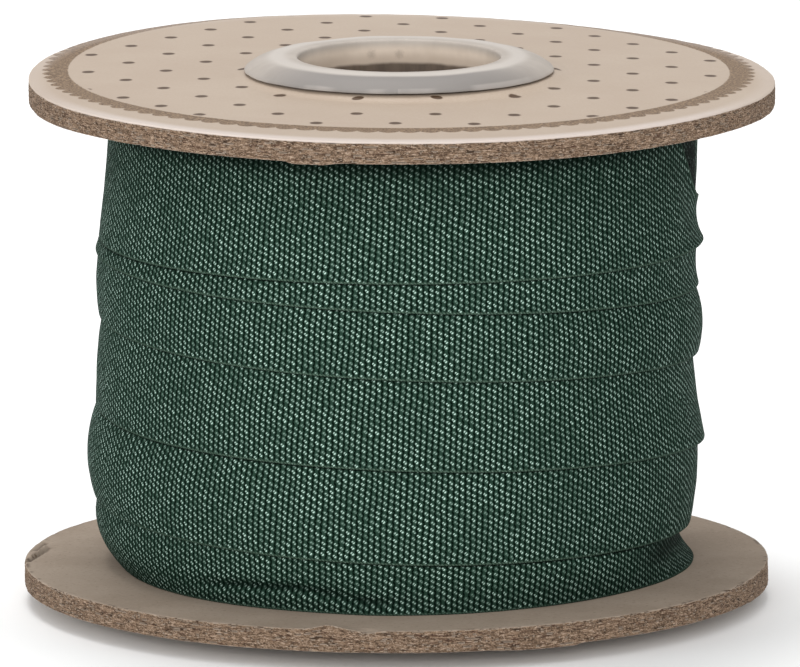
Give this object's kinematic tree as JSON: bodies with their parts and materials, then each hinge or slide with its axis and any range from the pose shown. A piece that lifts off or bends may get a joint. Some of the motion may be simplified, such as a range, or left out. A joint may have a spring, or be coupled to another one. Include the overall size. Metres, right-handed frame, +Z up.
{
  "type": "roll of gift ribbon on a cardboard spool",
  "caption": "Dark green woven gift ribbon wound in a helix on a small cardboard spool with round end discs, a dotted paper facing and a rolled tube core.",
  "frame": {"origin": "on the surface that the spool stands on, under the middle of the discs", "axes": "+Z up along the spool, -Y towards the viewer of the picture, +X to the right"},
  "size_m": [0.0656, 0.0653, 0.0483],
  "materials": {
    "greyboard": "rough grey-brown board with a speckled layered edge",
    "facing_paper": "matte warm cream paper printed with small dots and a scalloped band",
    "tube_paper": "smooth light grey rolled paper",
    "ribbon": "dark green coarse plain weave with a soft sheen"
  },
  "bodies": {
    "root": {"lower_disc": "greyboard", "upper_disc": "greyboard", "facing_paper": "facing_paper", "core_tube": "tube_paper", "wound_ribbon": "ribbon"}
  },
  "joints": []
}
